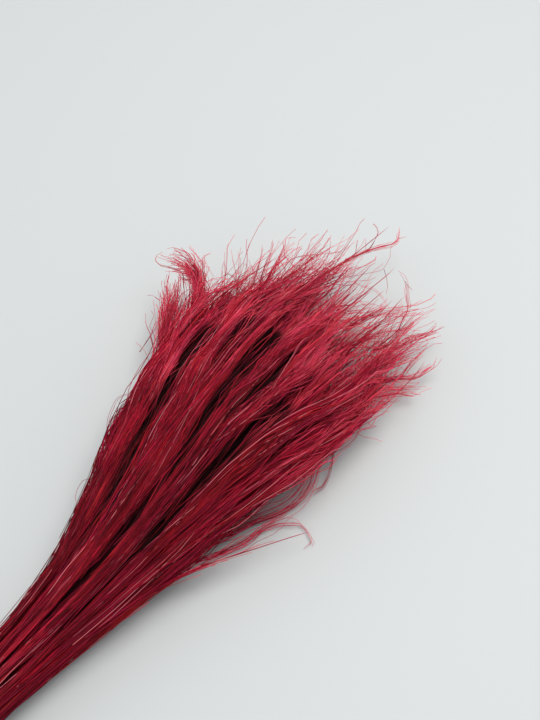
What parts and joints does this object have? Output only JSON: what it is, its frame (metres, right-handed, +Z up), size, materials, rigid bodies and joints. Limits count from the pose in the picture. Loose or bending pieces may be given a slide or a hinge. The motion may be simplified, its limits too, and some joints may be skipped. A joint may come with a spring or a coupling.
{
  "type": "bundle of feather grass",
  "caption": "Bundle of dyed dried feather grass, lying down: slender stems held by a rubber band fan out into long, soft, hair-like plumes.",
  "frame": {"origin": "middle of the bundle's box in plan, on the surface that it lies on", "axes": "+X from the cut stem ends to the plume tips, +Y across the bundle, +Z up"},
  "size_m": [0.5258, 0.1384, 0.0495],
  "materials": {
    "grass": "dry, soft, dyed plant fibre",
    "rubber": "matte natural rubber"
  },
  "bodies": {
    "root": {"rubber_band": "rubber", "stalk_01": "grass", "stalk_02": "grass", "stalk_03": "grass", "stalk_04": "grass", "stalk_05": "grass", "stalk_06": "grass", "stalk_07": "grass", "stalk_08": "grass", "stalk_09": "grass", "stalk_10": "grass", "stalk_11": "grass", "stalk_12": "grass", "stalk_13": "grass", "stalk_14": "grass", "stalk_15": "grass", "stalk_16": "grass", "stalk_17": "grass", "stalk_18": "grass", "stalk_19": "grass", "stalk_20": "grass", "stalk_21": "grass", "stalk_22": "grass", "stalk_23": "grass", "stalk_24": "grass", "stalk_25": "grass", "stalk_26": "grass", "stalk_27": "grass", "stalk_28": "grass", "stalk_29": "grass", "stalk_30": "grass", "stalk_31": "grass", "stalk_32": "grass", "stalk_33": "grass", "stalk_34": "grass", "stalk_35": "grass", "stalk_36": "grass", "stalk_37": "grass", "stalk_38": "grass", "stalk_39": "grass", "stalk_40": "grass", "stalk_41": "grass", "stalk_42": "grass", "stalk_43": "grass", "stalk_44": "grass", "stalk_45": "grass", "stalk_46": "grass", "stalk_47": "grass", "stalk_48": "grass", "stalk_49": "grass", "stalk_50": "grass", "stalk_51": "grass", "stalk_52": "grass", "stalk_53": "grass", "stalk_54": "grass", "stalk_55": "grass"}
  },
  "joints": []
}
